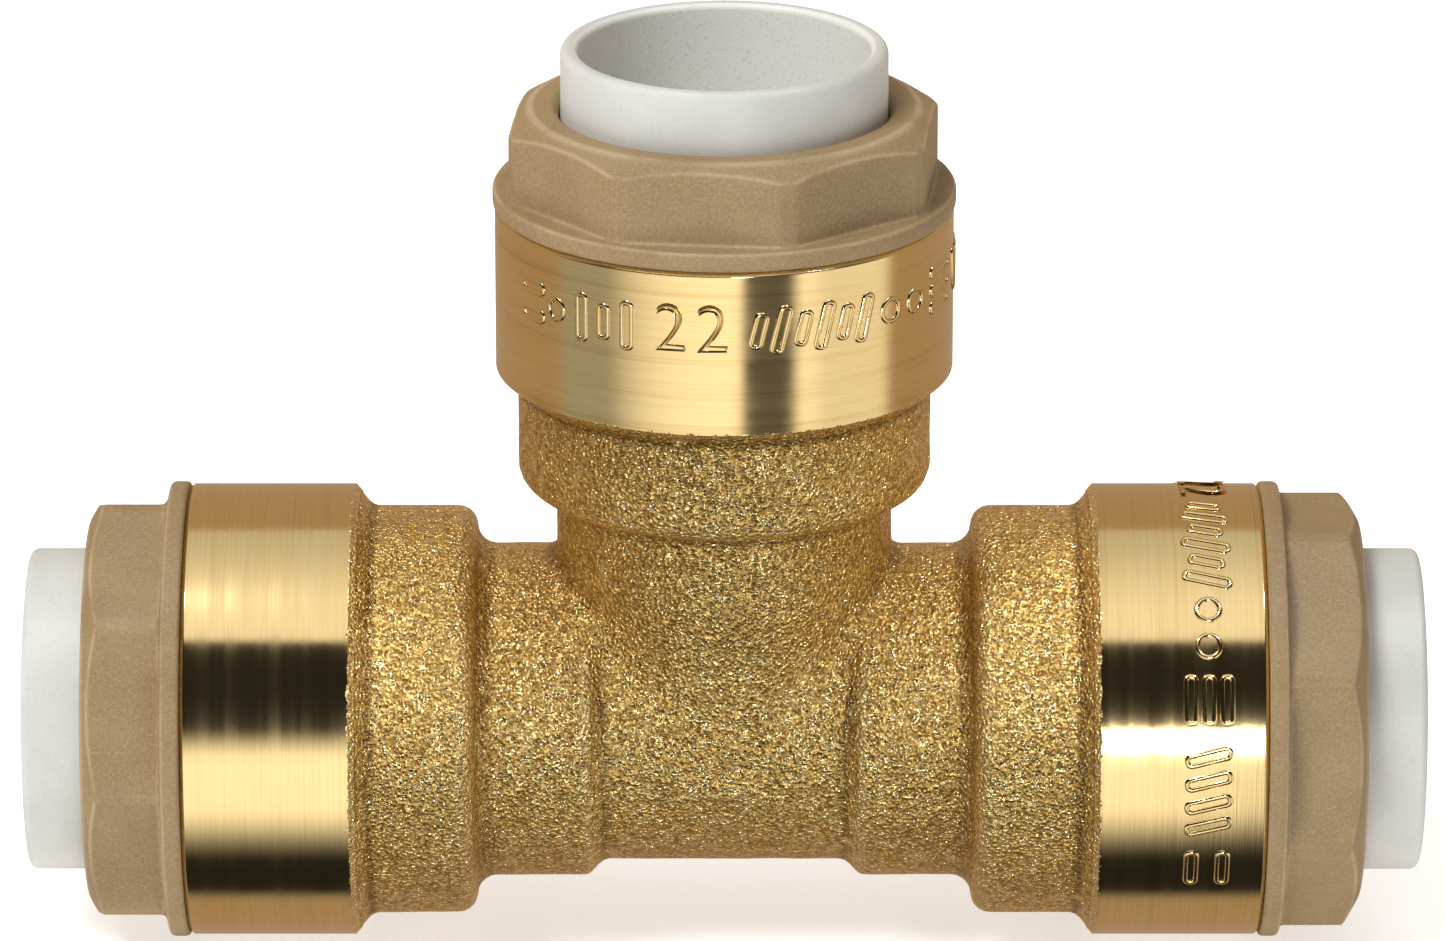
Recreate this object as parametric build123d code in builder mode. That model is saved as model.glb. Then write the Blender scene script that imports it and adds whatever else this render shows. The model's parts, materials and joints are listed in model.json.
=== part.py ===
"""Push to connect equal tee for 22 mm tube.

A forged brass tee with three identical sockets. Each socket holds, from the tube stop outwards, an O-ring,
a spacer washer, a second O-ring, a seat ring, a toothed grab ring, and a screwed octagonal nut that keeps
them in and guides the release sleeve. Pushing the sleeve inwards lifts the teeth off the tube.

The frame is the tee's: the origin is where the three axes cross, the run lies along X and the branch
points along +Z. Every piece of a socket is drawn as a profile of (radius, station), where the station is
the distance from the tee's centre along the socket's axis, and is turned about that axis. Millimetres.
"""

import os
from math import cos, radians, tan

from build123d import *

# Tube, and how each piece round it clears it
tube_radius = 22.0 / 2
seat_clearance = 0.10  # the brass seat that holds the tube's end
grip_clearance = 0.06  # the teeth and O-rings, as they stand round a tube
washer_clearance = 0.30
sleeve_clearance = 0.25

# Walls and steps of the bore, in radius
stop_width = 1.5  # the tube stop's shoulder
seal_space = 2.7  # between the tube and the wall of the O-ring chamber
shelf_width = 1.2
thread_step = 0.2  # the thread is this much wider than the shelf, so that the rings pass in
fit_gap = 0.10  # the loose pieces' play in the body
lead_in = 0.5  # cone at the mouth of each bore

# Brass walls, in radius
core_wall = 2.3
neck_wall = 1.95
boss_wall = 2.3
collar_wall = 1.73

# Lengths along a socket
stop_land = 1.1  # metal between the crossing waterway and the tube stop
core_step_setback = 0.6  # the step from core to neck, before the tube stop
core_step_length = 1.0
tube_seat_length = 8.75
chamber_floor = 0.85
stack_gap = 0.05
o_ring_length = 3.1
washer_thickness = 0.9
seat_ring_nose = 0.5  # how far the seat ring dips into the O-ring chamber
seat_ring_floor = 0.8
seat_ring_height = 3.6
collar_lead = 0.25  # the collar starts this much before the seat ring's shelf
branch_taper_length = 8.5

# Rounding of the forging
step_fillet = 1.4
core_fillet = 0.6
taper_fillet = 12.0
collar_fillet = 0.7
collar_corner = 0.6

# Grab ring
grab_ring_thickness = 0.5
grab_rim_width = 1.3
tooth_drop = 1.55  # how far the tooth tips lean towards the tube stop
tooth_count = 20
tooth_gap = 0.7
tooth_slot_margin = 0.3  # the slots stop this short of the teeth's root
tooth_room = 0.15  # between the rim and the seat ring's coned recess
recess_draft = 0.5

# Screw between nut and body, drawn as rings at the thread's pitch
thread_pitch = 1.5
thread_depth = 0.75
thread_clearance = 0.12
thread_run_in = 1.1
thread_run_out = 1.1
thread_count = 5
thread_base_share = 0.84  # width of a ring at its root, as a share of the pitch
thread_crest_share = 0.17
thread_sink = 0.05

# Nut
nut_wall = 3.25  # from its bore to its flats
nut_sides = 8
nut_corner_height = 1.05  # from the flats to the rounded corners
nut_chamfer_width = 1.1  # from the flats inwards
nut_chamfer_angle = 30.0
nut_octagon_length = 6.3
nut_bore_chamfer = 0.5
flange_overhang = 0.17
flange_thickness = 1.6
flange_edge = 0.3

# Release sleeve
sleeve_wall = 1.35
sleeve_gap = 0.15  # between the sleeve and the nut
sleeve_lip_height = 1.0
sleeve_lip_length = 2.0
sleeve_lip_gap = 0.2
sleeve_lip_play = 0.02
sleeve_nose_wall = 0.75
sleeve_nose_gap = 0.45  # from the nose to the teeth, before the sleeve is pushed
sleeve_edge = 0.55
sleeve_travel = 1.5
sleeve_travel_room = 0.9  # left behind the lip when the sleeve is right in
sleeve_reach = 4.7  # how far the sleeve stands out of the nut

# Radii, from the tube outwards
seat_radius = tube_radius + seat_clearance
grip_radius = tube_radius + grip_clearance
washer_radius = tube_radius + washer_clearance
waterway_radius = tube_radius - stop_width
chamber_radius = tube_radius + seal_space
shelf_radius = chamber_radius + shelf_width
rim_radius = shelf_radius - fit_gap
tooth_root_radius = rim_radius - grab_rim_width
sleeve_bore_radius = tube_radius + sleeve_clearance
sleeve_nose_radius = sleeve_bore_radius + sleeve_nose_wall
sleeve_radius = sleeve_bore_radius + sleeve_wall
sleeve_lip_radius = sleeve_radius + sleeve_lip_height
nut_bore_radius = sleeve_radius + sleeve_gap
nut_recess_radius = sleeve_lip_radius + sleeve_lip_gap
nut_skirt_radius = shelf_radius + thread_step
nut_thread_crest = nut_skirt_radius + thread_depth
nut_flat_radius = nut_bore_radius + nut_wall
nut_chamfer_radius = nut_flat_radius - nut_chamfer_width
body_thread_radius = nut_skirt_radius + thread_clearance
body_thread_root = nut_thread_crest + thread_clearance
core_radius = waterway_radius + core_wall
neck_radius = seat_radius + neck_wall
boss_radius = chamber_radius + boss_wall
collar_radius = body_thread_root + collar_wall
flange_radius = collar_radius + flange_overhang

# Stations, from the tee's centre outwards
stop_station = waterway_radius + stop_land
core_step_station = stop_station - core_step_setback
neck_end = stop_station + tube_seat_length
chamber_start = neck_end + chamber_floor
inner_ring_start = chamber_start + stack_gap
washer_start = inner_ring_start + o_ring_length + stack_gap
outer_ring_start = washer_start + washer_thickness + stack_gap
seat_ring_start = outer_ring_start + o_ring_length + stack_gap
seat_ring_shelf = seat_ring_start + seat_ring_nose
boss_end = seat_ring_shelf - collar_lead
grab_ring_station = seat_ring_shelf + seat_ring_height
tooth_tip_station = grab_ring_station - tooth_drop
skirt_start = grab_ring_station + grab_ring_thickness
thread_start = skirt_start + thread_run_in
collar_end = thread_start + thread_count * thread_pitch + thread_run_out
sleeve_lip_start = skirt_start + sleeve_travel_room + sleeve_travel
nut_shoulder = sleeve_lip_start + sleeve_lip_length + sleeve_lip_play
flange_top = collar_end + flange_thickness
nut_face = flange_top + nut_octagon_length
sleeve_end = nut_face + sleeve_reach

# The teeth's outer face is a cone, and the sleeve's nose stops short of it.
tooth_slope = tooth_drop / (tooth_root_radius - grip_radius)
sleeve_nose = skirt_start - (tooth_root_radius - sleeve_nose_radius) * tooth_slope + sleeve_nose_gap


class Port:
    """One socket: its name, the way it points, its slope from core to neck, and its nut's turn in degrees."""

    def __init__(self, name, outward, across, slope, nut_turn):
        self.name = name
        self.outward = Vector(*outward)
        self.across = Vector(*across)
        self.slope_start, self.slope_end, self.slope_fillet = slope
        self.nut_turn = nut_turn
        self.axis = Axis((0, 0, 0), outward)
        self.section = Plane(origin=(0, 0, 0), x_dir=across, z_dir=self.across.cross(self.outward))

    def face(self, station):
        """The plane across the socket at a station, looking outwards."""
        return Plane(origin=self.outward * station, x_dir=self.across, z_dir=self.outward)


# The run's necks start with a short step. The branch's grows out of the core by a long taper.
run_slope = (core_step_station - core_step_length / 2, core_step_station + core_step_length / 2, core_fillet)
branch_slope = (neck_radius - branch_taper_length, neck_radius, taper_fillet)
ports = [
    Port("left", (-1, 0, 0), (0, 0, 1), run_slope, 2.4),
    Port("right", (1, 0, 0), (0, 0, 1), run_slope, 18.0),
    Port("branch", (0, 0, 1), (0, -1, 0), branch_slope, 16.5),
]

os.makedirs("parts", exist_ok=True)


def thread_rings(root, crest):
    """The corners of each ring of the thread, from the root radius to the crest radius."""
    base = thread_pitch * thread_base_share / 2
    top = thread_pitch * thread_crest_share / 2
    for turn in range(thread_count):
        middle = thread_start + thread_pitch * (turn + 0.5)
        yield [(root, middle - base), (crest, middle - top), (crest, middle + top), (root, middle + base)]


def profile(port, outline, *extras):
    """A flat profile in the port's section plane, from closed outlines of (radius, station) points."""
    with BuildSketch(port.section) as drawn:
        for points in (outline, *extras):
            with BuildLine():
                Polyline(*points, close=True)
            make_face()
    return drawn.sketch


def write(piece, name):
    """Labels a finished piece and writes it to its own file."""
    piece.label = name
    export_step(piece, f"parts/{name}.step")


def make_forging(port):
    """The solid outside of one socket, from the tee's centre to the end of its collar."""
    with BuildPart() as forging:
        with BuildSketch(port.section) as outline:
            with BuildLine():
                Polyline((0, 0), (core_radius, 0), (core_radius, port.slope_start),
                         (neck_radius, port.slope_end), (neck_radius, neck_end), (boss_radius, neck_end),
                         (boss_radius, boss_end), (collar_radius, boss_end), (collar_radius, collar_end),
                         (0, collar_end), close=True)
            make_face()
            corners = outline.vertices().group_by(Axis.Y)
            fillet(corners[1] + corners[2], radius=port.slope_fillet)
            fillet(corners[3], radius=step_fillet)
            shoulder = corners[4].sort_by(Axis.X)
            fillet(shoulder[0], radius=collar_fillet)
            fillet(shoulder[-1], radius=collar_corner)
        revolve(axis=port.axis)
    return forging.part


def socket_profile(port):
    """The stepped bore of one socket and the roots of its thread, to be cut from the body."""
    thread_mouth = grab_ring_station + grab_ring_thickness / 2  # the nut clamps the grab ring
    bore = [(0, 0), (waterway_radius, 0), (waterway_radius, stop_station), (seat_radius, stop_station),
            (seat_radius, chamber_start - lead_in), (seat_radius + lead_in, chamber_start),
            (chamber_radius, chamber_start), (chamber_radius, seat_ring_shelf),
            (shelf_radius, seat_ring_shelf), (shelf_radius, thread_mouth),
            (body_thread_radius, thread_mouth), (body_thread_radius, collar_end - lead_in),
            (body_thread_radius + lead_in, collar_end), (0, collar_end)]
    return profile(port, bore, *thread_rings(body_thread_radius - thread_sink, body_thread_root))


# Body: three forged sockets joined at the centre, then bored from each end
with BuildPart() as body:
    for port in ports:
        add(make_forging(port))
    for port in ports:
        revolve(socket_profile(port), axis=port.axis, mode=Mode.SUBTRACT)
write(body.part, "body")


def make_o_ring(port, start, name):
    """An O-ring squeezed between the chamber wall and the tube, so its section is a little oval."""
    middle_radius = (grip_radius + chamber_radius) / 2
    half_width = (chamber_radius - grip_radius) / 2
    with BuildPart() as ring:
        with BuildSketch(port.section):
            with Locations((middle_radius, start + o_ring_length / 2)):
                Ellipse(half_width, o_ring_length / 2)
        revolve(axis=port.axis)
    write(ring.part, f"{name}_{port.name}")


def make_spacer_washer(port):
    """The flat washer that keeps the two O-rings apart."""
    outer = chamber_radius - fit_gap
    washer_end = washer_start + washer_thickness
    with BuildPart() as washer:
        flat = [(washer_radius, washer_start), (outer, washer_start), (outer, washer_end),
                (washer_radius, washer_end)]
        revolve(profile(port, flat), axis=port.axis)
    write(washer.part, f"spacer_washer_{port.name}")


def make_grab_ring_seat(port):
    """The ring that closes the O-ring chamber, with a coned recess that gives the teeth room to lean."""
    nose = chamber_radius - fit_gap
    mouth = tooth_root_radius + tooth_room
    floor = seat_ring_start + seat_ring_floor
    with BuildPart() as seat:
        ring = [(washer_radius, seat_ring_start), (nose, seat_ring_start), (nose, seat_ring_shelf),
                (rim_radius, seat_ring_shelf), (rim_radius, grab_ring_station), (mouth, grab_ring_station),
                (mouth - recess_draft, floor), (washer_radius, floor)]
        revolve(profile(port, ring), axis=port.axis)
    write(seat.part, f"grab_ring_seat_{port.name}")


def make_grab_ring(port):
    """The stainless ring: a flat rim, and teeth that lean inwards round the tube."""
    tooth = [(rim_radius, grab_ring_station), (rim_radius, skirt_start), (tooth_root_radius, skirt_start),
             (grip_radius, tooth_tip_station + grab_ring_thickness), (grip_radius, tooth_tip_station),
             (tooth_root_radius, grab_ring_station)]
    slot_length = tooth_root_radius - tooth_slot_margin
    with BuildPart() as ring:
        revolve(profile(port, tooth), axis=port.axis)
        with BuildSketch(port.face(tooth_tip_station)):
            with PolarLocations(0, tooth_count):
                with Locations((slot_length / 2, 0)):
                    Rectangle(slot_length, tooth_gap)
        extrude(amount=skirt_start - tooth_tip_station, mode=Mode.SUBTRACT)
    write(ring.part, f"grab_ring_{port.name}")


def make_nut(port):
    """The octagonal nut: a threaded skirt inside the body, a flange on its face and the spanner flats."""
    corner_radius = min(nut_flat_radius + nut_corner_height, nut_flat_radius / cos(radians(180 / nut_sides)))
    chamfer_drop = (corner_radius - nut_chamfer_radius) * tan(radians(nut_chamfer_angle))
    with BuildPart() as nut:
        with BuildSketch(port.face(flange_top)):
            RegularPolygon(nut_flat_radius, nut_sides, major_radius=False, rotation=port.nut_turn)
        extrude(amount=nut_octagon_length)
        envelope = [(0, flange_top), (corner_radius, flange_top), (corner_radius, nut_face - chamfer_drop),
                    (nut_chamfer_radius, nut_face), (0, nut_face)]
        revolve(profile(port, envelope), axis=port.axis, mode=Mode.INTERSECT)
        skirt = [(0, skirt_start), (nut_skirt_radius, skirt_start), (nut_skirt_radius, collar_end),
                 (flange_radius, collar_end), (flange_radius, flange_top - flange_edge),
                 (flange_radius - flange_edge, flange_top), (0, flange_top)]
        rings = thread_rings(nut_skirt_radius - thread_sink, nut_thread_crest)
        revolve(profile(port, skirt, *rings), axis=port.axis)
        bore = [(0, skirt_start), (nut_recess_radius, skirt_start), (nut_recess_radius, nut_shoulder),
                (nut_bore_radius, nut_shoulder), (nut_bore_radius, nut_face - nut_bore_chamfer),
                (nut_bore_radius + nut_bore_chamfer, nut_face), (0, nut_face)]
        revolve(profile(port, bore), axis=port.axis, mode=Mode.SUBTRACT)
    write(nut.part, f"nut_{port.name}")


def make_release_sleeve(port):
    """The sleeve that is pushed in to let the tube go, with its lip behind the nut's shoulder."""
    lip_end = sleeve_lip_start + sleeve_lip_length
    with BuildPart() as sleeve:
        with BuildSketch(port.section) as drawn:
            with BuildLine():
                Polyline((sleeve_bore_radius, sleeve_nose), (sleeve_nose_radius, sleeve_nose),
                         (sleeve_radius, sleeve_lip_start), (sleeve_lip_radius, sleeve_lip_start),
                         (sleeve_lip_radius, lip_end), (sleeve_radius, lip_end),
                         (sleeve_radius, sleeve_end), (sleeve_bore_radius, sleeve_end), close=True)
            make_face()
            mouth = drawn.vertices().group_by(Axis.Y)[-1]
            fillet(mouth, radius=sleeve_edge)
        revolve(axis=port.axis)
    write(sleeve.part, f"release_sleeve_{port.name}")


for port in ports:
    make_o_ring(port, inner_ring_start, "inner_o_ring")
    make_spacer_washer(port)
    make_o_ring(port, outer_ring_start, "outer_o_ring")
    make_grab_ring_seat(port)
    make_grab_ring(port)
    make_nut(port)
    make_release_sleeve(port)
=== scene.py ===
"""Looks of the push to connect tee: blasted and turned brass, tan moulded nuts, white release sleeves.

Every piece is worked in millimetres, standing on Z as the branch socket does, then turned to its own socket
and brought to metres. A socket's station is the distance from the tee's centre along the socket's axis.
"""

import json
from math import atan2, cos, hypot, pi, radians, sin, tan

import bpy
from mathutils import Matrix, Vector


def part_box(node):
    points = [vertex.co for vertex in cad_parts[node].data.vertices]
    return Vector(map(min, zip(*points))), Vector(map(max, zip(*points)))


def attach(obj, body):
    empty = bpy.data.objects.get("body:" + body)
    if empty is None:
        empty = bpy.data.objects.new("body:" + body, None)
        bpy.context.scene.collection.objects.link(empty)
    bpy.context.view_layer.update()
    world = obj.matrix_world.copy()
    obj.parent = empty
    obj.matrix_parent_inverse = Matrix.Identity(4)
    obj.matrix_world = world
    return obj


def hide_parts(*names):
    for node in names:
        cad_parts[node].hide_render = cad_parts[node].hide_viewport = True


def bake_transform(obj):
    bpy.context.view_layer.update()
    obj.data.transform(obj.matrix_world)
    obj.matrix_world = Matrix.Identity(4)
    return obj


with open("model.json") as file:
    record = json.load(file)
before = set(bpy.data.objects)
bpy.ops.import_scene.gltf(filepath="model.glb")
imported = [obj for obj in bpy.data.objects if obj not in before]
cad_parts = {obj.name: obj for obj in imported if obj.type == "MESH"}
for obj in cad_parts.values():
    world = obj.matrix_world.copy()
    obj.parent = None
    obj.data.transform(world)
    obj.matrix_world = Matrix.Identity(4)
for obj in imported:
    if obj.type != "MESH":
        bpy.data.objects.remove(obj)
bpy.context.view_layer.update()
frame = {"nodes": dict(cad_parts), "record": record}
bpy.ops.object.select_all(action="DESELECT")

mm = 0.001
scene = bpy.context.scene


def reach(node, corner, direction):
    """One corner coordinate of a CAD node's box, in millimetres: corner 0 is the lowest, 1 the highest."""
    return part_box(node)[corner][direction] / mm


# Sizes read from the frame
collar_end = reach("body", 1, 0)
collar_radius = reach("body", 1, 1)
nut_face = reach("nut_right", 1, 0)
skirt_start = reach("nut_right", 0, 0)
flange_radius = reach("nut_right", 1, 1)
sleeve_end = reach("release_sleeve_right", 1, 0)
sleeve_nose = reach("release_sleeve_right", 0, 0)
sleeve_lip_radius = reach("release_sleeve_right", 1, 1)
tooth_tip = reach("grab_ring_right", 0, 0)
rim_radius = reach("grab_ring_right", 1, 1)
port_mounts = {mount["name"]: mount for mount in frame["record"]["mounts"]}
seat_radius = port_mounts["port_branch"]["dims"]["r_mm"]

# Forging
core_radius = 11.8
neck_radius = 13.05
boss_radius = 16.0
core_step = (9.5, 10.6)
branch_taper = (4.55, 13.05)
neck_end = 19.35
step_rounding = 1.45
core_step_rounding = 0.45
branch_taper_rounding = 8.0
collar_foot = 27.6  # where the boss turns up to the collar
band_start = 28.9  # where the lathe began to cut the bright band
band_chamfer = 0.5
collar_bevel = 0.25  # at the collar's mouth
stub_sunk = 0.04  # the forging ends this far under the collar's turned face
stub_length = 1.6
ring_wall = 1.5  # how far the collar's ring reaches in past the chamber's wall
forging_grain = 0.37  # size of the mesh's faces
port_overlap = 3.0
swell_size = 3.2
swell_height = 0.10

# Blend where the branch grows out of the run
blend_beside_step = 1.5
blend_clear_of_step = 2.7
step_margin = 0.4
step_fade = 1.5
blend_depth = 2.0
blend_floor = 2.0  # no blend lower than this above the run's axis
blend_at_sides = 0.12  # its strength beside the branch, and what is added to it in front and behind
blend_at_front = 0.88

# Bore
waterway_radius = 9.5
stop_station = 10.6
chamber_start = 20.2
chamber_radius = 13.7
shelf_station = 28.0
shelf_radius = 14.9
thread_mouth = skirt_start - 0.25
thread_start = 33.2
thread_pitch = 1.5
thread_count = 5
thread_depth = 0.75
thread_foot = 0.6  # half of a ridge's width at its foot
thread_tip = 0.12  # and at its tip
thread_clearance = 0.12
lead_in = 0.5
cutter_overrun = 1

# Nut
nut_flat_radius = 16.0
nut_sides = 8
nut_corner_radius = 17.05
nut_chamfer_radius = 14.9
nut_chamfer_rise = tan(radians(30))
flange_thickness = 1.6
nut_bore_radius = 12.75
nut_recess_radius = 13.8
nut_shoulder = 36.5
nut_skirt_radius = 15.1
nut_skirt_core = nut_recess_radius - 1.5  # the skirt before it is bored
nut_mouth_chamfer = 0.55
flange_lift = 0.06  # a hair's gap between the flange and the collar
flange_rounding = 0.3
nut_grain = 0.22
wear_and_highlight_name = "rubbed"
wear_and_highlight_width = 0.42

# Sleeve
sleeve_radius = 12.6
sleeve_bore_radius = 11.25
sleeve_nose_radius = 12.0
sleeve_lip = (34.48, 36.48)

# Grab ring
tooth_root_radius = 13.5
tooth_tip_radius = 11.06
tooth_count = 20
tooth_gap = 0.7
tooth_gap_margin = 0.6  # how far the gaps' cutters reach in past the tips
tooth_gap_height = 6
tooth_web = 0.3  # left whole between the gaps and the rim
strip_thickness = 0.5

turn_steps = 160
arc_steps = 6


# ---------------------------------------------------------------- workshop


def pick(*pieces):
    """Selects these pieces alone. The first one is the active one."""
    bpy.ops.object.select_all(action="DESELECT")
    for piece in pieces:
        piece.select_set(True)
    bpy.context.view_layer.objects.active = pieces[0]


def finish_with(piece, kind, **settings):
    """Adds a modifier to a piece and applies it."""
    pick(piece)
    modifier = piece.modifiers.new(kind.lower(), kind)
    for name, value in settings.items():
        setattr(modifier, name, value)
    bpy.ops.object.modifier_apply(modifier=modifier.name)


def join_solid(piece, tool):
    """Unites a piece with another solid, which is used up."""
    finish_with(piece, "BOOLEAN", operation="UNION", object=tool, solver="MANIFOLD")
    bpy.data.objects.remove(tool)


def cut_away(piece, tool):
    """Cuts a solid out of a piece. The cutter is used up."""
    finish_with(piece, "BOOLEAN", operation="DIFFERENCE", object=tool, solver="MANIFOLD")
    bpy.data.objects.remove(tool)


def keep_inside(piece, tool):
    """Keeps what lies inside another solid, which is used up."""
    finish_with(piece, "BOOLEAN", operation="INTERSECT", object=tool, solver="MANIFOLD")
    bpy.data.objects.remove(tool)


def rounded(corners):
    """The points of an outline of (radius, station) corners, with an arc where a corner has a rounding."""
    points = []
    for place, corner in enumerate(corners):
        here = Vector(corner[:2])
        if len(corner) < 3:
            points.append(here)
            continue
        before = (Vector(corners[place - 1][:2]) - here).normalized()
        after = (Vector(corners[(place + 1) % len(corners)][:2]) - here).normalized()
        half = before.angle(after) / 2
        centre = here + (before + after).normalized() * corner[2] / sin(half)
        first = here + before * corner[2] / tan(half) - centre
        last = here + after * corner[2] / tan(half) - centre
        for step in range(arc_steps + 1):
            share = step / arc_steps
            points.append(centre + first.lerp(last, share).normalized() * corner[2])
    return points


def turned(name, corners, steps=turn_steps):
    """A solid turned about Z from an outline of (radius, station) or (radius, station, rounding) corners."""
    points = rounded(corners)
    bpy.ops.mesh.primitive_plane_add(size=1)
    piece = bpy.context.object
    piece.name = name
    bpy.ops.object.mode_set(mode="EDIT")
    bpy.ops.mesh.merge(type="CENTER")
    bpy.ops.transform.translate(value=(points[0].x, 0, points[0].y))
    for start, end in zip(points, points[1:]):
        bpy.ops.mesh.extrude_vertices_move(
            TRANSFORM_OT_translate={"value": (end.x - start.x, 0, end.y - start.y)})
    if points[0].x > 0:
        bpy.ops.mesh.extrude_vertices_move(
            TRANSFORM_OT_translate={"value": (points[0].x - points[-1].x, 0, points[0].y - points[-1].y)})
    bpy.ops.mesh.select_all(action="SELECT")
    bpy.ops.mesh.spin(steps=steps, angle=2 * pi, center=(0, 0, 0), axis=(0, 0, 1))
    bpy.ops.mesh.select_all(action="SELECT")
    bpy.ops.mesh.remove_doubles(threshold=0.002)
    bpy.ops.mesh.normals_make_consistent(inside=False)
    bpy.ops.object.mode_set(mode="OBJECT")
    return piece


def copy_of(piece, name):
    """A copy of a piece with a mesh of its own."""
    twin = piece.copy()
    twin.data = piece.data.copy()
    twin.name = name
    scene.collection.objects.link(twin)
    return twin


# How each socket is turned from the branch's place, and how far its nut and its marks are turned on its axis
port_tilt = {"left": -90, "right": 90, "branch": 0}
nut_turn = {"left": 42.6, "right": 18.0, "branch": 16.5}
marks_turn = {"right": -92, "branch": 0}
ports = list(port_tilt)


def face_port(piece, port):
    """Turns a piece that stands on Z to its socket."""
    piece.rotation_euler = (0, radians(port_tilt[port]), 0)
    pick(piece)
    bpy.ops.object.transform_apply(location=True, rotation=True, scale=True)


def hand_over(piece, body, material, smooth_angle=35):
    """Brings a finished piece to metres, gives it its finish, and lets it ride on its CAD body."""
    piece.scale = (mm, mm, mm)
    pick(piece)
    bpy.ops.object.transform_apply(location=True, rotation=True, scale=True)
    bpy.ops.object.shade_smooth_by_angle(angle=radians(smooth_angle))
    if material:
        piece.data.materials.clear()
        piece.data.materials.append(material)
    if body:
        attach(piece, body)


# ---------------------------------------------------------------- finishes


class Value:
    """A number that varies over a surface. Arithmetic on it adds Math nodes to its finish."""

    def __init__(self, finish, socket):
        self.finish = finish
        self.socket = socket

    def math(self, operation, *others):
        values = dict(enumerate((self, *others)))
        return self.finish.node("ShaderNodeMath", {"operation": operation}, values)

    def __add__(self, other):
        return self.math("ADD", other)

    def __radd__(self, other):
        return self.math("ADD", other)

    def __sub__(self, other):
        return self.math("SUBTRACT", other)

    def __rsub__(self, other):
        return self.finish.node("ShaderNodeMath", {"operation": "SUBTRACT"}, {0: other, 1: self})

    def __mul__(self, other):
        return self.math("MULTIPLY", other)

    def __rmul__(self, other):
        return self.math("MULTIPLY", other)

    def __truediv__(self, other):
        return self.math("DIVIDE", other)

    def __abs__(self):
        return self.math("ABSOLUTE")

    def above(self, other):
        return self.math("MAXIMUM", other)

    def rise(self, low, high):
        """0 up to low, 1 from high, and a smooth rise between them."""
        return self.finish.node(
            "ShaderNodeMapRange", {"interpolation_type": "SMOOTHSTEP", "clamp": True},
            {"Value": self, "From Min": low, "From Max": high, "To Min": 0.0, "To Max": 1.0})


class Finish:
    """A node tree being built: a material's, or the world's."""

    def __init__(self, owner):
        self.owner = owner
        owner.use_nodes = True
        self.tree = owner.node_tree
        self.tree.nodes.clear()

    def node(self, kind, settings=None, values=None, out=0):
        """Adds a node, sets it up, feeds its sockets, and returns one output as a Value."""
        added = self.tree.nodes.new(kind)
        for name, value in (settings or {}).items():
            setattr(added, name, value)
        for key, value in (values or {}).items():
            if isinstance(value, Value):
                self.tree.links.new(value.socket, added.inputs[key])
            else:
                added.inputs[key].default_value = value
        return Value(self, added.outputs[out]) if added.outputs else None

    def place(self):
        """The point on the piece, in millimetres, as a vector and as its three numbers."""
        spot = self.node("ShaderNodeTexCoord", out="Object")
        spot = self.node("ShaderNodeVectorMath", {"operation": "SCALE"}, {0: spot, "Scale": 1 / mm})
        numbers = [self.node("ShaderNodeSeparateXYZ", values={0: spot}, out=axis) for axis in range(3)]
        return spot, numbers

    def noise(self, spot, size, detail=2.0, roughness=0.5):
        """Noise whose features are about that many millimetres, from 0 to 1 around 0.5."""
        return self.node("ShaderNodeTexNoise", {"noise_type": "FBM"},
                         {"Vector": spot, "Scale": 1 / size, "Detail": detail, "Roughness": roughness})

    def stretched(self, x, y, z, sizes):
        """A vector whose noise is drawn out: each coordinate divided by its own feature size."""
        return self.node("ShaderNodeCombineXYZ", values={
            "X": x / sizes[0], "Y": y / sizes[1], "Z": z / sizes[2]})

    def on_branch(self, x, z):
        """1 on the branch socket, 0 on the run."""
        return (z - abs(x)).rise(-0.1, 0.1)

    def round_socket(self, x, y, z, along, around):
        """A vector whose noise is drawn out round each socket's axis, into rings."""
        across = self.stretched(x, y, z, (along, around, around))
        upright = self.stretched(x, y, z, (around, around, along))
        return self.node("ShaderNodeMix", {"data_type": "VECTOR"},
                         {0: self.on_branch(x, z), 4: across, 5: upright}, out=1)

    def blend(self, share, low, high):
        """A colour between two colours."""
        return self.node("ShaderNodeMix", {"data_type": "RGBA"}, {0: share, 6: low, 7: high}, out=2)

    def bump(self, height, depth, below=None):
        """The normal of a surface whose height, from 0 to 1, stands for that many millimetres."""
        values = {"Height": height, "Distance": depth * mm, "Strength": 1.0}
        if below:
            values["Normal"] = below
        return self.node("ShaderNodeBump", {}, values)

    def surface(self, **sockets):
        """Ends the tree in a Principled shader with those sockets."""
        named = {name.replace("_", " "): value for name, value in sockets.items()}
        shader = self.node("ShaderNodeBsdfPrincipled", values=named)
        self.node("ShaderNodeOutputMaterial", values={"Surface": shader})
        return self.owner


def new_finish(name):
    return Finish(bpy.data.materials.new(name))


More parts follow.
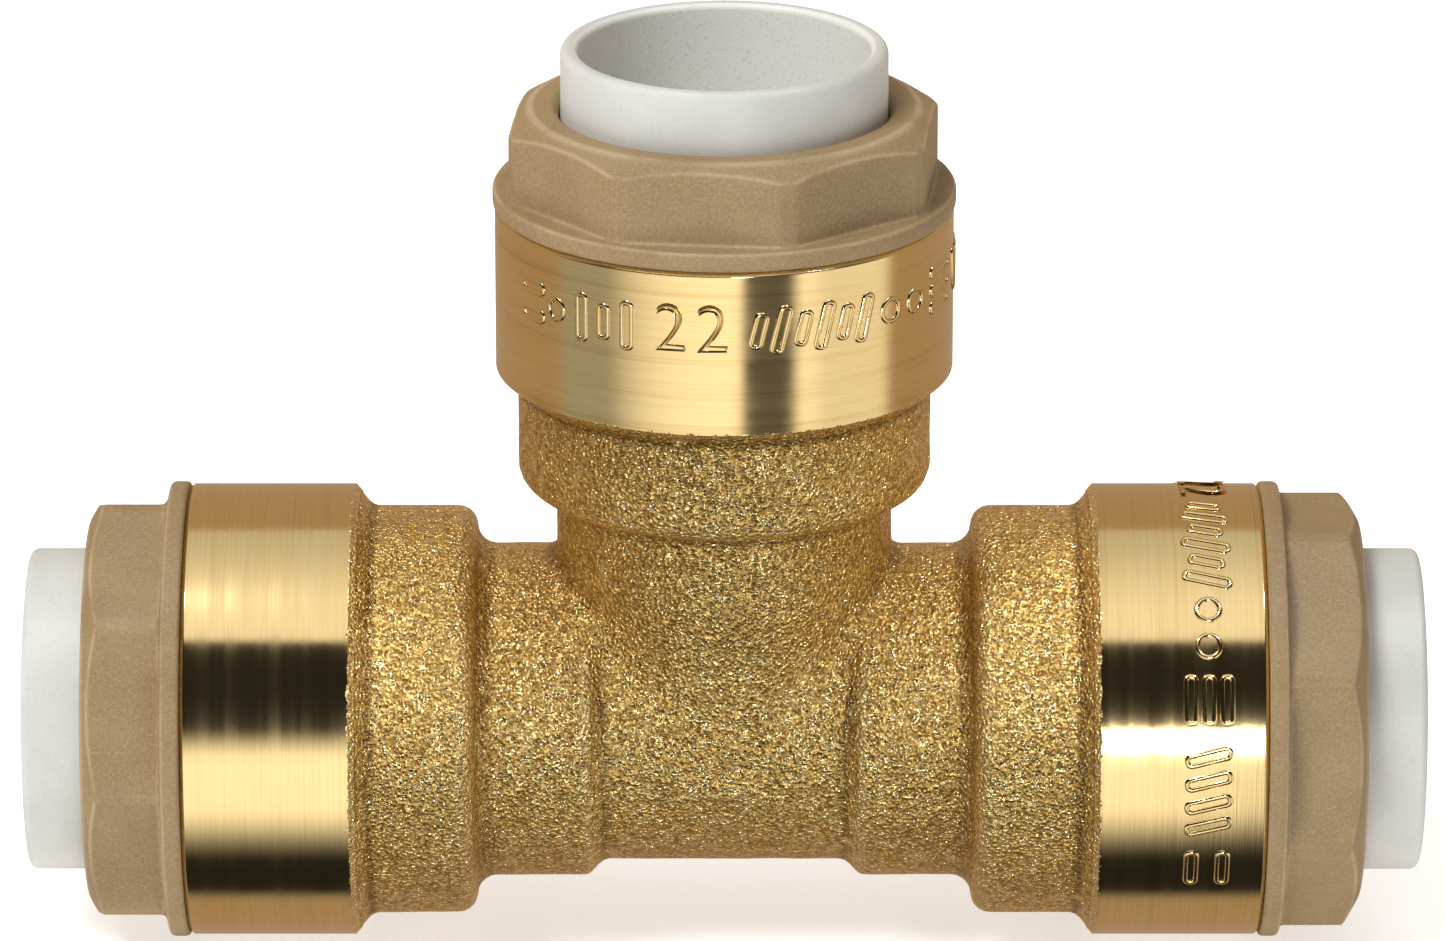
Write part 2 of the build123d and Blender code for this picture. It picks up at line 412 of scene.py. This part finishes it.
def brass_finish():
    """Blasted forging all over, and turned bright bands on the collars with fine lines round them."""
    finish = new_finish("blasted_and_turned_brass")
    spot, (x, y, z) = finish.place()
    station = abs(x).above(z)

    # The turned band starts at a ragged edge
    edge_wander = finish.noise(spot, 0.55, detail=3.0, roughness=0.7)
    edge_half_width = 0.08
    band = station + (edge_wander - 0.5) * 0.9
    band = band.rise(band_start - edge_half_width, band_start + edge_half_width)

    # Blasting: crowded craters a third of a millimetre across, each with its own shade, on larger swellings
    dimples = finish.noise(spot, 0.27, detail=1.5, roughness=0.5)
    craters = {"Vector": spot, "Scale": 1 / 0.30}
    pits = finish.node("ShaderNodeTexVoronoi", {"feature": "F1"}, craters)
    crater_shade = finish.node("ShaderNodeTexVoronoi", {"feature": "F1"}, craters, out="Color")
    swellings = finish.noise(spot, 1.7, detail=1.0)
    blasted_normal = finish.bump(dimples, 0.22)
    blasted_normal = finish.bump(pits.rise(0.0, 0.8), 0.13, blasted_normal)
    blasted_normal = finish.bump(swellings, 0.16, blasted_normal)

    # Turning: rings round the socket's axis, fine ones and a few broad ones
    rings_at = finish.round_socket(x, y, z, along=0.22, around=16.0)
    fine_rings = finish.noise(rings_at, 1.0, detail=3.0, roughness=0.65)
    broad_rings = finish.noise(rings_at, 9.0, detail=2.0, roughness=0.6)
    turned_normal = finish.bump(fine_rings, 0.0055)
    turned_normal = finish.bump(broad_rings, 0.007, turned_normal)

    normal = finish.node("ShaderNodeMix", {"data_type": "VECTOR"},
                         {0: band, 4: blasted_normal, 5: turned_normal}, out=1)

    # Blasted colour: hollows and specks darker, painted glints lighter, tarnish, painted shade in the
    # creases, painted highlight on convex corners
    tarnish = finish.noise(spot, 7.0, detail=3.0)
    hollows = (dimples * 0.5 + crater_shade * 0.5).rise(0.56, 0.36)
    glints = crater_shade.rise(0.62, 0.68) * (1 - band)
    specks = finish.noise(spot, 0.17, detail=1.0, roughness=0.6).rise(0.40, 0.33)
    blasted = finish.blend(hollows, (1.0, 0.68, 0.22, 1), (0.58, 0.36, 0.11, 1))
    blasted = finish.blend(specks * 0.75, blasted, (0.26, 0.14, 0.035, 1))
    blasted = finish.blend(glints, blasted, (1.0, 0.80, 0.38, 1))
    blasted = finish.blend(tarnish.rise(0.4, 0.75) * 0.3, blasted, (0.52, 0.33, 0.11, 1))
    bend = finish.node("ShaderNodeNewGeometry", out="Pointiness")
    # painted shade: concave creases are darkened where shade falls in the bends
    blasted = finish.blend(bend.rise(0.497, 0.470) * 0.9, blasted, (0.20, 0.105, 0.03, 1))
    # painted highlight: convex corners are lightened where the edges catch the light
    blasted = finish.blend(bend.rise(0.505, 0.530) * 0.5, blasted, (1.0, 0.80, 0.42, 1))

    # Turned colour: pale rings, with stains drawn out along them
    bright = finish.blend(fine_rings.rise(0.35, 0.7) * 0.5, (0.82, 0.60, 0.27, 1), (0.88, 0.71, 0.40, 1))
    stains_at = finish.node("ShaderNodeVectorMath", {"operation": "SCALE"}, {0: rings_at, "Scale": 0.2})
    stains = finish.noise(stains_at, 1.0, detail=4.0, roughness=0.7).rise(0.52, 0.74)
    bright = finish.blend(stains * 0.45, bright, (0.52, 0.33, 0.11, 1))

    color = finish.blend(band, blasted, bright)
    turned_roughness = 0.11 + 0.06 * broad_rings.rise(0.3, 0.7)
    blasted_roughness = 0.38 - 0.24 * glints
    roughness = blasted_roughness + (turned_roughness - blasted_roughness) * band
    return finish.surface(Base_Color=color, Metallic=1.0, Roughness=roughness, Normal=normal)


def bore_finish():
    """The machined inside of the body."""
    finish = new_finish("bored_brass")
    _, (x, y, z) = finish.place()
    rings_at = finish.round_socket(x, y, z, along=0.12, around=12.0)
    rings = finish.noise(rings_at, 1.0, detail=3.0)
    color = finish.blend(rings, (0.70, 0.50, 0.20, 1), (0.80, 0.60, 0.28, 1))
    return finish.surface(Base_Color=color, Metallic=1.0, Roughness=0.25 + 0.15 * rings,
                          Normal=finish.bump(rings, 0.008))


def nut_finish():
    """Tan glass-filled plastic, a little lighter along the edges: partly wear from handling, partly a
    painted highlight.
    """
    finish = new_finish("tan_moulded_plastic")
    spot, _ = finish.place()
    specks = finish.noise(spot, 0.22, detail=2.0, roughness=0.7)
    grain = finish.noise(spot, 0.5, detail=3.0, roughness=0.6)
    flow = finish.noise(spot, 6.0, detail=2.0)
    rubbed = finish.node("ShaderNodeAttribute", {"attribute_name": wear_and_highlight_name}, out=2).rise(0.15, 0.9)
    color = finish.blend(flow.rise(0.3, 0.7), (0.290, 0.192, 0.085, 1), (0.332, 0.228, 0.107, 1))
    color = finish.blend(specks.rise(0.45, 0.75) * 0.35, color, (0.50, 0.38, 0.24, 1))
    color = finish.blend(specks.rise(0.5, 0.25) * 0.35, color, (0.20, 0.13, 0.065, 1))
    # edges painted lighter: partly wear from handling, partly a painted highlight on the rounded edges
    color = finish.blend(rubbed * flow.rise(0.2, 0.6) * 0.5, color, (0.60, 0.47, 0.31, 1))
    normal = finish.bump(grain, 0.05)
    return finish.surface(Base_Color=color, Roughness=0.50 + 0.12 * grain, Normal=normal)


def sleeve_finish():
    """White moulded plastic with a satin skin."""
    finish = new_finish("white_moulded_plastic")
    spot, (x, y, z) = finish.place()
    on_branch = finish.on_branch(x, z)
    across = x * on_branch + z * (1 - on_branch)
    from_axis = (across * across + y * y).math("SQRT")
    # painted light: the sleeve's bore is painted paler than its outside, to brighten its shaded inside
    bore = from_axis.rise(sleeve_bore_radius + 0.5, sleeve_bore_radius + 0.2)
    cloud = finish.noise(spot, 5.0, detail=3.0)
    grain = finish.noise(spot, 0.25, detail=2.0)
    color = finish.blend(cloud.rise(0.3, 0.7), (0.61, 0.615, 0.59, 1), (0.66, 0.665, 0.64, 1))
    color = finish.blend(bore, color, (0.88, 0.88, 0.84, 1))
    color = finish.blend(grain.rise(0.52, 0.75) * 0.35, color, (0.50, 0.51, 0.49, 1))
    return finish.surface(Base_Color=color, Roughness=0.42 + 0.08 * cloud, Normal=finish.bump(grain, 0.012))


def steel_finish():
    """Stamped stainless spring strip, with faint rolling lines."""
    finish = new_finish("spring_strip")
    _, (x, y, z) = finish.place()
    lines = finish.noise(finish.stretched(x, y, z, (0.15, 3.0, 0.15)), 1.0, detail=3.0)
    color = finish.blend(lines, (0.48, 0.48, 0.47, 1), (0.66, 0.66, 0.64, 1))
    return finish.surface(Base_Color=color, Metallic=1.0, Roughness=0.28 + 0.15 * lines,
                          Normal=finish.bump(lines, 0.006))


def rubber_finish():
    """Black rubber under a film of grease."""
    finish = new_finish("seal_rubber")
    spot, _ = finish.place()
    film = finish.noise(spot, 1.8, detail=3.0)
    color = finish.blend(film, (0.012, 0.012, 0.013, 1), (0.035, 0.035, 0.036, 1))
    return finish.surface(Base_Color=color, Roughness=0.28 + 0.3 * film, Normal=finish.bump(film, 0.03))


def support_finish():
    """Plain light grey moulding."""
    finish = new_finish("support_plastic")
    spot, _ = finish.place()
    cloud = finish.noise(spot, 1.2, detail=3.0)
    color = finish.blend(cloud, (0.40, 0.41, 0.40, 1), (0.52, 0.53, 0.51, 1))
    return finish.surface(Base_Color=color, Roughness=0.5 + 0.1 * cloud, Normal=finish.bump(cloud, 0.02))


# ---------------------------------------------------------------- brass body


def forged_socket(port):
    """The forged outside of one socket, up to just inside its turned collar."""
    on_branch = port == "branch"
    slope = branch_taper if on_branch else core_step
    slope_rounding = branch_taper_rounding if on_branch else core_step_rounding
    stub_radius = collar_radius - stub_sunk
    stub_end = band_start + stub_length
    socket = turned(f"forged_{port}", [
        (0, -port_overlap), (core_radius, -port_overlap), (core_radius, slope[0], slope_rounding),
        (neck_radius, slope[1], slope_rounding), (neck_radius, neck_end, step_rounding),
        (boss_radius, neck_end, step_rounding), (boss_radius, collar_foot, 0.6),
        (stub_radius, band_start, 0.3), (stub_radius, stub_end), (0, stub_end)])
    face_port(socket, port)
    return socket


def smooth_junction(forging):
    """Blends the crease where the branch grows out of the run, as a forging die rounds it."""
    crease = forging.vertex_groups.new(name="crease")
    for vertex in forging.data.vertices:
        x, y, z = vertex.co
        # the blend is wide in front and behind, and narrow beside the steps
        clear_of_step = max(0.0, min((core_step[0] - step_margin - abs(x)) / step_fade, 1.0))
        near = neck_radius + blend_beside_step + blend_clear_of_step * clear_of_step
        depth = min(near - hypot(y, z), near - hypot(x, y), blend_depth) / blend_depth
        if z > blend_floor and depth > 0:
            to_front = min(abs(y) / core_radius, 1.0)
            crease.add([vertex.index], depth * (blend_at_sides + blend_at_front * to_front), "REPLACE")
    finish_with(forging, "SMOOTH", factor=0.5, iterations=240, vertex_group="crease")


def collar_ring(port):
    """The turned band of one socket: a true cylinder with a small chamfer at each end."""
    inner_radius = chamber_radius + ring_wall
    ring_start = band_start - band_chamfer + 0.05
    ring = turned(f"collar_{port}", [
        (inner_radius, ring_start), (collar_radius - band_chamfer, ring_start), (collar_radius, band_start),
        (collar_radius, collar_end - collar_bevel, 0.15), (collar_radius - collar_bevel, collar_end),
        (inner_radius, collar_end)])
    face_port(ring, port)
    return ring


def thread_rings(foot_radius, tip_radius):
    """The outline of a thread's rings."""
    corners = []
    for ring in range(thread_count):
        middle = thread_start + thread_pitch * (ring + 0.5)
        corners += [(foot_radius, middle - thread_foot), (tip_radius, middle - thread_tip),
                    (tip_radius, middle + thread_tip), (foot_radius, middle + thread_foot)]
    return corners


def bore_cutter(port):
    """The stepped bore of one socket, with the roots of its thread."""
    thread_radius = nut_skirt_radius + thread_clearance
    corners = [(0, -cutter_overrun), (waterway_radius, -cutter_overrun), (waterway_radius, stop_station),
               (seat_radius, stop_station), (seat_radius, chamber_start - lead_in),
               (seat_radius + lead_in, chamber_start), (chamber_radius, chamber_start),
               (chamber_radius, shelf_station), (shelf_radius, shelf_station), (shelf_radius, thread_mouth),
               (thread_radius, thread_mouth)]
    corners += thread_rings(thread_radius, thread_radius + thread_depth)
    corners += [(thread_radius, collar_end - lead_in), (thread_radius + lead_in, collar_end),
                (thread_radius + lead_in, collar_end + cutter_overrun), (0, collar_end + cutter_overrun)]
    cutter = turned(f"bore_{port}", corners)
    face_port(cutter, port)
    return cutter


def make_brass_body(skin, bored):
    """The whole body: three sockets forged as one, then turned and bored."""
    body, *others = [forged_socket(port) for port in ("branch", "left", "right")]
    body.name = "brass_body"
    for other in others:
        join_solid(body, other)
    finish_with(body, "REMESH", mode="VOXEL", voxel_size=forging_grain, use_smooth_shade=True)
    finish_with(body, "SMOOTH", factor=0.5, iterations=2)
    smooth_junction(body)
    swell = bpy.data.textures.new("forging_swell", "CLOUDS")
    swell.noise_scale = swell_size
    finish_with(body, "DISPLACE", texture=swell, strength=swell_height, mid_level=0.5,
                texture_coords="LOCAL")
    body.data.materials.clear()
    body.data.materials.append(skin)
    for port in ports:
        ring = collar_ring(port)
        ring.data.materials.append(skin)
        join_solid(body, ring)
    for port in ports:
        cutter = bore_cutter(port)
        cutter.data.materials.append(bored)
        cut_away(body, cutter)
    hand_over(body, "fitting", None, smooth_angle=40)
    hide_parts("body")
    return body


# ---------------------------------------------------------------- marks on the collars

mark_height = 3.8
mark_station = 37.2
lip_radius = 0.24  # the stamp raises a thin lip round each stroke
lip_sunk = 0.08
stroke = 0.8  # width of every bar
tall = 3.6
short = 2.6
slant = 14
digit_height_share = 0.70  # of the font's size
digit_weight = 0.025


def raised_lip(outline):
    """Turns a flat outline into the raised lip round a stamped stroke, as a mesh."""
    outline.data.dimensions = "3D"
    outline.data.bevel_depth = lip_radius
    outline.data.bevel_resolution = 2
    outline.data.resolution_u = 5
    pick(outline)
    bpy.ops.object.convert(target="MESH")
    return bpy.context.object


def stand_up(lip, along, rise=0.0, lean=0.0):
    """Stands a flat mark on edge, facing the front, at its place along the row."""
    lip.rotation_euler = (pi / 2, radians(lean), 0)
    lip.location = (along, 0, rise)
    pick(lip)
    bpy.ops.object.transform_apply(location=True, rotation=True, scale=True)
    return lip


def digit_mark(digit, along):
    """One digit of the tube size, in outline."""
    bpy.ops.object.text_add()
    text = bpy.context.object
    text.data.body = digit
    text.data.size = mark_height / digit_height_share
    text.data.offset = digit_weight
    text.data.align_x = "CENTER"
    text.data.align_y = "CENTER"
    bpy.ops.object.convert(target="CURVE")
    return stand_up(raised_lip(bpy.context.object), along)


def dot_mark(along, radius):
    """A plain round mark, in outline."""
    bpy.ops.curve.primitive_bezier_circle_add(radius=radius)
    return stand_up(raised_lip(bpy.context.object), along)


def bar_mark(along, width, length, rise=0.0, lean=0.0):
    """A plain bar with rounded corners, in outline."""
    bpy.ops.mesh.primitive_plane_add(size=1)
    bar = bpy.context.object
    bar.scale = (width, length, 1)
    bpy.ops.object.transform_apply(location=False, rotation=False, scale=True)
    bpy.ops.object.mode_set(mode="EDIT")
    bpy.ops.mesh.select_all(action="SELECT")
    bpy.ops.mesh.bevel(offset=min(width, length) * 0.4, affect="VERTICES", segments=3)
    bpy.ops.mesh.select_all(action="SELECT")
    bpy.ops.mesh.delete(type="ONLY_FACE")
    bpy.ops.object.mode_set(mode="OBJECT")
    bpy.ops.object.convert(target="CURVE")
    return stand_up(raised_lip(bpy.context.object), along, rise, lean)


def make_size_marks(skin):
    """The stamped tube size in a row of plain bars and dots, wrapped round two of the collars."""
    marks = [digit_mark("2", -4.1), digit_mark("2", -0.9)]
    marks += [bar_mark(-7.6, stroke, tall), bar_mark(-9.6, stroke, short), bar_mark(-11.6, stroke, tall)]
    marks += [dot_mark(-14.2, 0.8)]
    marks += [bar_mark(-17.0, 2.6, stroke, rise) for rise in (1.1, -1.1)]
    marks += [bar_mark(2.6 + 1.75 * count, stroke, tall if count % 2 else short, lean=slant)
              for count in range(6)]
    marks += [dot_mark(14.0, 0.9), dot_mark(17.0, 0.9)]
    marks += [bar_mark(21.2, 3.6, stroke, rise) for rise in (1.4, 0.0, -1.4)]
    marks += [bar_mark(25.6 + 1.9 * count, stroke, 3.4, lean=-slant) for count in range(4)]
    marks += [bar_mark(35.4, 3.2, stroke, rise) for rise in (1.2, -1.2)]
    pick(*marks)
    bpy.ops.object.join()
    row = bpy.context.object
    wrap_radius = collar_radius - lip_sunk
    finish_with(row, "SIMPLE_DEFORM", deform_method="BEND", deform_axis="Z",
                angle=row.dimensions.x / wrap_radius)
    row.location = (0, -wrap_radius, mark_station)
    pick(row)
    bpy.ops.object.transform_apply(location=True, rotation=True, scale=True)
    for port in marks_turn:
        stamp = copy_of(row, f"size_marks_{port}")
        stamp.rotation_euler = (0, 0, radians(marks_turn[port]))
        pick(stamp)
        bpy.ops.object.transform_apply(location=True, rotation=True, scale=True)
        face_port(stamp, port)
        hand_over(stamp, "fitting", skin, smooth_angle=70)
    bpy.data.objects.remove(row)


# ---------------------------------------------------------------- nut, sleeve and the rings inside


def mark_wear_and_highlight(nut, chamfer_start, flange_top):
    """Stores how near each point is to an edge of the nut, which is painted lighter: partly wear, partly a
    painted highlight.
    """
    rubbed = nut.data.attributes.new(wear_and_highlight_name, "FLOAT", "POINT")
    for place, vertex in enumerate(nut.data.vertices):
        x, y, z = vertex.co
        radius = hypot(x, y)
        cone_radius = nut_corner_radius - (z - chamfer_start) / nut_chamfer_rise
        away = [abs(radius - flange_radius), abs(z - flange_top), abs(z - nut_face)]
        if z > flange_top - wear_and_highlight_width and radius < nut_corner_radius + 0.1:
            away.append(abs(radius - cone_radius))
            # the flats' middles lie half a side on from the corners
            for side in range(nut_sides):
                turn = 2 * pi * (side + 0.5) / nut_sides
                away.append(abs(radius * cos(atan2(y, x) - turn) - nut_flat_radius))
        rubbed.data[place].value = max(0.0, 1 - sorted(away)[1] / wear_and_highlight_width)


def model_nut():
    """The moulded octagonal nut, with its flange and its threaded skirt."""
    flange_top = collar_end + flange_thickness
    tip_radius = nut_flat_radius / cos(pi / nut_sides)
    foot = collar_end + 0.3
    nut = turned("octagon", [
        (0, foot), (tip_radius, foot), (tip_radius, nut_face), (0, nut_face)], nut_sides)
    chamfer_start = nut_face - (nut_corner_radius - nut_chamfer_radius) * nut_chamfer_rise
    keep_inside(nut, turned("envelope", [
        (0, collar_end), (nut_corner_radius, collar_end), (nut_corner_radius, chamfer_start),
        (nut_chamfer_radius, nut_face), (0, nut_face)]))
    flange_foot = collar_end + flange_lift
    join_solid(nut, turned("flange", [
        (0, flange_foot), (flange_radius, flange_foot, flange_rounding),
        (flange_radius, flange_top, flange_rounding), (0, flange_top)]))
    finish_with(nut, "REMESH", mode="VOXEL", voxel_size=nut_grain, use_smooth_shade=True)
    finish_with(nut, "SMOOTH", factor=0.5, iterations=2)
    mark_wear_and_highlight(nut, chamfer_start, flange_top)
    skirt_end = collar_end + 0.6
    join_solid(nut, turned("skirt", [
        (nut_skirt_core, skirt_start), (nut_skirt_radius, skirt_start),
        *thread_rings(nut_skirt_radius, nut_skirt_radius + thread_depth),
        (nut_skirt_radius, skirt_end), (nut_skirt_core, skirt_end)]))
    mouth_radius = nut_bore_radius + nut_mouth_chamfer
    cut_away(nut, turned("nut_bore", [
        (0, skirt_start - cutter_overrun), (nut_recess_radius, skirt_start - cutter_overrun),
        (nut_recess_radius, nut_shoulder), (nut_bore_radius, nut_shoulder),
        (nut_bore_radius, nut_face - nut_mouth_chamfer, 0.4), (mouth_radius, nut_face + 0.02),
        (mouth_radius, nut_face + cutter_overrun), (0, nut_face + cutter_overrun)]))
    return nut


def model_sleeve():
    """The white release sleeve: a thin tube with a rounded mouth, a lip and a narrow nose."""
    return turned("sleeve", [
        (sleeve_bore_radius, sleeve_nose, 0.15), (sleeve_nose_radius, sleeve_nose, 0.2),
        (sleeve_radius, sleeve_lip[0]), (sleeve_lip_radius, sleeve_lip[0], 0.2),
        (sleeve_lip_radius, sleeve_lip[1], 0.15), (sleeve_radius, sleeve_lip[1], 0.1),
        (sleeve_radius, sleeve_end, 0.6), (sleeve_bore_radius, sleeve_end, 0.6)])


def model_grab_ring():
    """The stainless ring: a flat rim, and a cone of teeth that leans towards the tee's centre."""
    underside = skirt_start - strip_thickness
    ring = turned("grab_ring", [
        (rim_radius, underside, 0.08), (rim_radius, skirt_start, 0.08), (tooth_root_radius, skirt_start),
        (tooth_tip_radius, tooth_tip + strip_thickness), (tooth_tip_radius, tooth_tip),
        (tooth_root_radius, underside)])
    gap_start = tooth_tip_radius - tooth_gap_margin
    gap_end = tooth_root_radius - tooth_web
    gaps = []
    for tooth in range(tooth_count):
        bpy.ops.mesh.primitive_cube_add(size=1, location=((gap_start + gap_end) / 2, 0, skirt_start - 1))
        gap = bpy.context.object
        gap.scale = (gap_end - gap_start, tooth_gap, tooth_gap_height)
        bpy.ops.object.transform_apply(location=True, rotation=True, scale=True)
        gap.rotation_euler = (0, 0, 2 * pi * tooth / tooth_count)
        gaps.append(gap)
    pick(*gaps)
    bpy.ops.object.transform_apply(location=True, rotation=True, scale=True)
    bpy.ops.object.join()
    cut_away(ring, bpy.context.object)
    return ring


def fit_sockets(tan_plastic, white_plastic, steel):
    """Puts a nut, a sleeve and a grab ring into each socket."""
    nut, sleeve, grab_ring = model_nut(), model_sleeve(), model_grab_ring()
    for port in ports:
        own_nut = copy_of(nut, f"octagonal_nut_{port}")
        own_nut.rotation_euler = (0, 0, radians(nut_turn[port]))
        pick(own_nut)
        bpy.ops.object.transform_apply(location=True, rotation=True, scale=True)
        face_port(own_nut, port)
        hand_over(own_nut, "fitting", tan_plastic, smooth_angle=50)
        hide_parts(f"nut_{port}")

        own_sleeve = copy_of(sleeve, f"white_sleeve_{port}")
        face_port(own_sleeve, port)
        hand_over(own_sleeve, f"sleeve_{port}", white_plastic)
        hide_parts(f"release_sleeve_{port}")

        own_ring = copy_of(grab_ring, f"toothed_ring_{port}")
        face_port(own_ring, port)
        hand_over(own_ring, None, steel, smooth_angle=30)
        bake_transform(own_ring)
        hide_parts(f"grab_ring_{port}")
    for model in (nut, sleeve, grab_ring):
        bpy.data.objects.remove(model)


def finish_inner_rings(rubber, support):
    """The seals and their supports keep their own shapes and get their finishes."""
    for port in ports:
        for node, material in (("inner_o_ring", rubber), ("outer_o_ring", rubber),
                               ("spacer_washer", support), ("grab_ring_seat", support)):
            ring = frame["nodes"][f"{node}_{port}"]
            ring.data.materials.clear()
            ring.data.materials.append(material)


brass = brass_finish()
make_brass_body(brass, bore_finish())
make_size_marks(brass)
fit_sockets(nut_finish(), sleeve_finish(), steel_finish())
finish_inner_rings(rubber_finish(), support_finish())

# ---------------------------------------------------------------- floor, light and camera

bpy.ops.object.select_all(action="DESELECT")
floor_size = 6
floor_gap = 0.1 * mm
bpy.ops.mesh.primitive_plane_add(size=floor_size, location=(0, 0, -flange_radius * mm - floor_gap))
floor = bpy.context.object
floor.name = "floor"
floor_finish = new_finish("pale_floor")
floor.data.materials.append(floor_finish.surface(
    Base_Color=(0.92, 0.92, 0.92, 1), Roughness=0.8, Emission_Color=(1, 1, 1, 1), Emission_Strength=0.6))
floor.visible_glossy = False


def studio_light():
    """The world: a broad softbox overhead, a white table in front, and dark room between and below them."""
    studio = Finish(bpy.data.worlds.new("studio"))
    scene.world = studio.owner
    toward = studio.node("ShaderNodeTexCoord", out="Generated")
    x, y, z = [studio.node("ShaderNodeSeparateXYZ", values={0: toward}, out=axis) for axis in range(3)]
    front = (-1 * y).rise(-0.10, 0.10)

    # softbox, brighter towards the front
    overhead = z.rise(0.80, 0.84)
    softbox = (0.62 + 0.5 * (-1 * y).rise(-0.6, 0.55)) * overhead

    # table, with a dark gap a little to the right and less light at both sides
    side = x / (abs(y) + 0.001)
    gap = side.rise(0.10, 0.22) * side.rise(0.85, 0.60) * front
    table = z.rise(0.20, -0.12) * z.rise(-0.90, -0.48) * front
    table = table * (1 - 0.93 * gap) * (0.28 + 0.72 * side.rise(-1.9, 0.0)) * (1 - 0.3 * side.rise(0.6, 1.4))

    back = (1 - front) * (1 - overhead)
    strength = 0.02 + softbox + 1.4 * table + 0.42 * back
    color = studio.blend(back, (1.0, 0.985, 0.95, 1), (1.0, 0.74, 0.52, 1))
    light = studio.node("ShaderNodeBackground", values={"Color": color, "Strength": strength})
    studio.node("ShaderNodeOutputWorld", values={"Surface": light})


studio_light()

view_distance = 714 * mm
view_elevation = radians(21.1)
look_down = radians(19.6)
view_side = -0.14 * mm
lens_length = 226.2
camera_data = bpy.data.cameras.new("camera")
camera_data.sensor_width = 36
camera_data.lens = lens_length
camera_data.clip_start = 0.05
camera = bpy.data.objects.new("camera", camera_data)
scene.collection.objects.link(camera)
camera.location = (view_side, -view_distance * cos(view_elevation), view_distance * sin(view_elevation))
camera.rotation_euler = (pi / 2 - look_down, 0, 0)
scene.camera = camera
lamp_aim = Vector((0, 0, 0.01))


def add_lamp(name, place, size, power, for_brass):
    """A square lamp aimed at the tee. Either it shows only in reflections, for the brass, or it lights
    only what is matt, for the plastics and the floor."""
    lamp_data = bpy.data.lights.new(name, "AREA")
    lamp_data.size = size
    lamp_data.energy = power
    lamp = bpy.data.objects.new(name, lamp_data)
    scene.collection.objects.link(lamp)
    lamp.location = place
    lamp.rotation_euler = (lamp_aim - lamp.location).to_track_quat("-Z", "Y").to_euler()
    lamp.visible_glossy = for_brass
    lamp.visible_diffuse = not for_brass


add_lamp("broad_lamp", (-0.42, -0.48, 0.9), 0.45, 9, False)
add_lamp("spark_lamp_left", (-0.30, -0.16, 0.86), 0.08, 3.2, True)
add_lamp("spark_lamp_front", (0.12, -0.85, 0.07), 0.12, 1.6, True)
add_lamp("spark_lamp_right", (0.40, -0.12, 0.80), 0.08, 2.9, True)

scene.view_settings.view_transform = "Standard"
